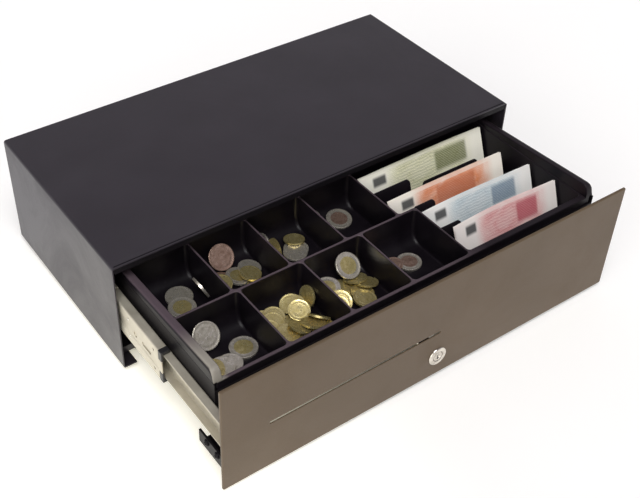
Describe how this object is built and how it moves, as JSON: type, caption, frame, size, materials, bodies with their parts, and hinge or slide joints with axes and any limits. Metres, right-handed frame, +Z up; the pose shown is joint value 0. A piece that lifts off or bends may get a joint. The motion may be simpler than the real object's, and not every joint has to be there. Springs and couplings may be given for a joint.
{
  "type": "cash drawer",
  "caption": "Steel cash drawer, part open on ball-bearing slides, with scooped coin cups, leaning note slots, a document slot, cam lock and solenoid latch.",
  "frame": {"origin": "on the counter, under the middle of the whole footprint with the drawer part open as stored", "axes": "+Z up; the drawer comes out towards -Y; +X to the right of someone facing the fascia"},
  "size_m": [0.46, 0.3946, 0.129],
  "materials": {
    "casing_paint": "fine-textured semi-gloss charcoal powder coat",
    "fascia_paint": "fine-textured semi-gloss powder coat, charcoal with a brown cast",
    "black_steel": "satin black paint on folded sheet",
    "zinc": "bright zinc plate",
    "chrome": "bright chrome",
    "black_plastic": "moulded black plastic with a soft sheen",
    "rubber": "matt black rubber"
  },
  "bodies": {
    "casing": {"case_cover": "casing_paint", "case_back_panel": "casing_paint", "case_base_plate": "casing_paint", "foot_front_left": "rubber", "foot_front_right": "rubber", "foot_rear_left": "rubber", "foot_rear_right": "rubber", "foot_screw_front_left": "zinc", "foot_screw_front_right": "zinc", "foot_screw_rear_left": "zinc", "foot_screw_rear_right": "zinc", "back_screw_top_left": "zinc", "back_screw_top_right": "zinc", "back_screw_low_left": "zinc", "back_screw_low_right": "zinc", "slide_left_case_member": "zinc", "slide_right_case_member": "zinc", "latch_bracket": "zinc", "latch_pivot_pin": "zinc", "latch_spring": "zinc", "solenoid_body": "black_plastic", "ejector_housing": "black_plastic", "ejector_spring": "zinc", "switch_body": "black_plastic", "control_socket": "black_plastic", "lead_solenoid": "rubber", "lead_switch": "rubber"},
    "drawer": {"drawer_pan": "black_steel", "fascia": "fascia_paint", "fascia_bracket_left": "black_steel", "fascia_bracket_right": "black_steel", "insert_tray": "black_plastic", "note_divider_1": "black_plastic", "note_divider_2": "black_plastic", "note_divider_3": "black_plastic", "latch_striker": "zinc", "lock_housing": "chrome", "lock_nut": "zinc", "slide_left_drawer_member": "zinc", "slide_right_drawer_member": "zinc"},
    "lock_cylinder": {"lock_plug": "chrome", "lock_cam": "zinc"},
    "latch": {"latch_hook": "zinc"},
    "plunger": {"solenoid_plunger": "zinc"},
    "pusher": {"ejector_pusher": "black_plastic"},
    "switch_lever": {"switch_lever": "zinc"},
    "slide_left_middle": {"slide_left_middle_member": "zinc", "slide_left_bumper": "black_plastic"},
    "slide_left_outer_balls": {"slide_left_outer_cage": "zinc"},
    "slide_left_inner_balls": {"slide_left_inner_cage": "zinc"},
    "slide_right_middle": {"slide_right_middle_member": "zinc", "slide_right_bumper": "black_plastic"},
    "slide_right_outer_balls": {"slide_right_outer_cage": "zinc"},
    "slide_right_inner_balls": {"slide_right_inner_cage": "zinc"}
  },
  "joints": [
    {"name": "drawer_slide", "type": "slide", "parent": "casing", "child": "drawer", "axis": [0, -1, 0], "range_m": [-0.16, 0.03]},
    {"name": "slide_left_middle_travel", "type": "slide", "parent": "casing", "child": "slide_left_middle", "axis": [0, -1, 0], "range_m": [-0.08, 0.015]},
    {"name": "slide_left_outer_cage_travel", "type": "slide", "parent": "casing", "child": "slide_left_outer_balls", "axis": [0, -1, 0], "range_m": [-0.04, 0.0075]},
    {"name": "slide_left_inner_cage_travel", "type": "slide", "parent": "casing", "child": "slide_left_inner_balls", "axis": [0, -1, 0], "range_m": [-0.12, 0.0225]},
    {"name": "slide_right_middle_travel", "type": "slide", "parent": "casing", "child": "slide_right_middle", "axis": [0, -1, 0], "range_m": [-0.08, 0.015]},
    {"name": "slide_right_outer_cage_travel", "type": "slide", "parent": "casing", "child": "slide_right_outer_balls", "axis": [0, -1, 0], "range_m": [-0.04, 0.0075]},
    {"name": "slide_right_inner_cage_travel", "type": "slide", "parent": "casing", "child": "slide_right_inner_balls", "axis": [0, -1, 0], "range_m": [-0.12, 0.0225]},
    {"name": "ejector_push", "type": "slide", "parent": "casing", "child": "pusher", "axis": [0, -1, 0], "range_m": [-0.01, 0.00187], "deforming": ["ejector_spring"]},
    {"name": "switch_lever_hinge", "type": "hinge", "parent": "casing", "child": "switch_lever", "pos_m": [-0.069, 0.16725, 0.06], "axis": [0, 0, 1], "range_deg": [-1.9, 10.1]},
    {"name": "latch_pivot", "type": "hinge", "parent": "casing", "child": "latch", "pos_m": [0.006, 0.18325, 0.04575], "axis": [0, 0, 1], "range_deg": [0, 18.1], "deforming": ["latch_spring"]},
    {"name": "plunger_travel", "type": "slide", "parent": "casing", "child": "plunger", "axis": [1, 0, 0], "range_m": [0, 0.0043], "stiffness_N_per_m": 100, "springref_m": -0.0015},
    {"name": "lock_turn", "type": "hinge", "parent": "drawer", "child": "lock_cylinder", "pos_m": [0.004, -0.19575, 0.029], "axis": [0, 1, 0], "range_deg": [0, 90]}
  ],
  "couplings": [
    {"joint": "slide_left_middle_travel", "follows": "drawer_slide", "ratio": 0.5},
    {"joint": "slide_left_outer_cage_travel", "follows": "drawer_slide", "ratio": 0.25},
    {"joint": "slide_left_inner_cage_travel", "follows": "drawer_slide", "ratio": 0.75},
    {"joint": "slide_right_middle_travel", "follows": "drawer_slide", "ratio": 0.5},
    {"joint": "slide_right_outer_cage_travel", "follows": "drawer_slide", "ratio": 0.25},
    {"joint": "slide_right_inner_cage_travel", "follows": "drawer_slide", "ratio": 0.75},
    {"joint": "ejector_push", "follows": "drawer_slide", "ratio": 0.0625},
    {"joint": "switch_lever_hinge", "follows": "drawer_slide", "rad_per_m": -1.09},
    {"joint": "latch_pivot", "follows": "plunger_travel", "rad_per_m": 73.1}
  ]
}
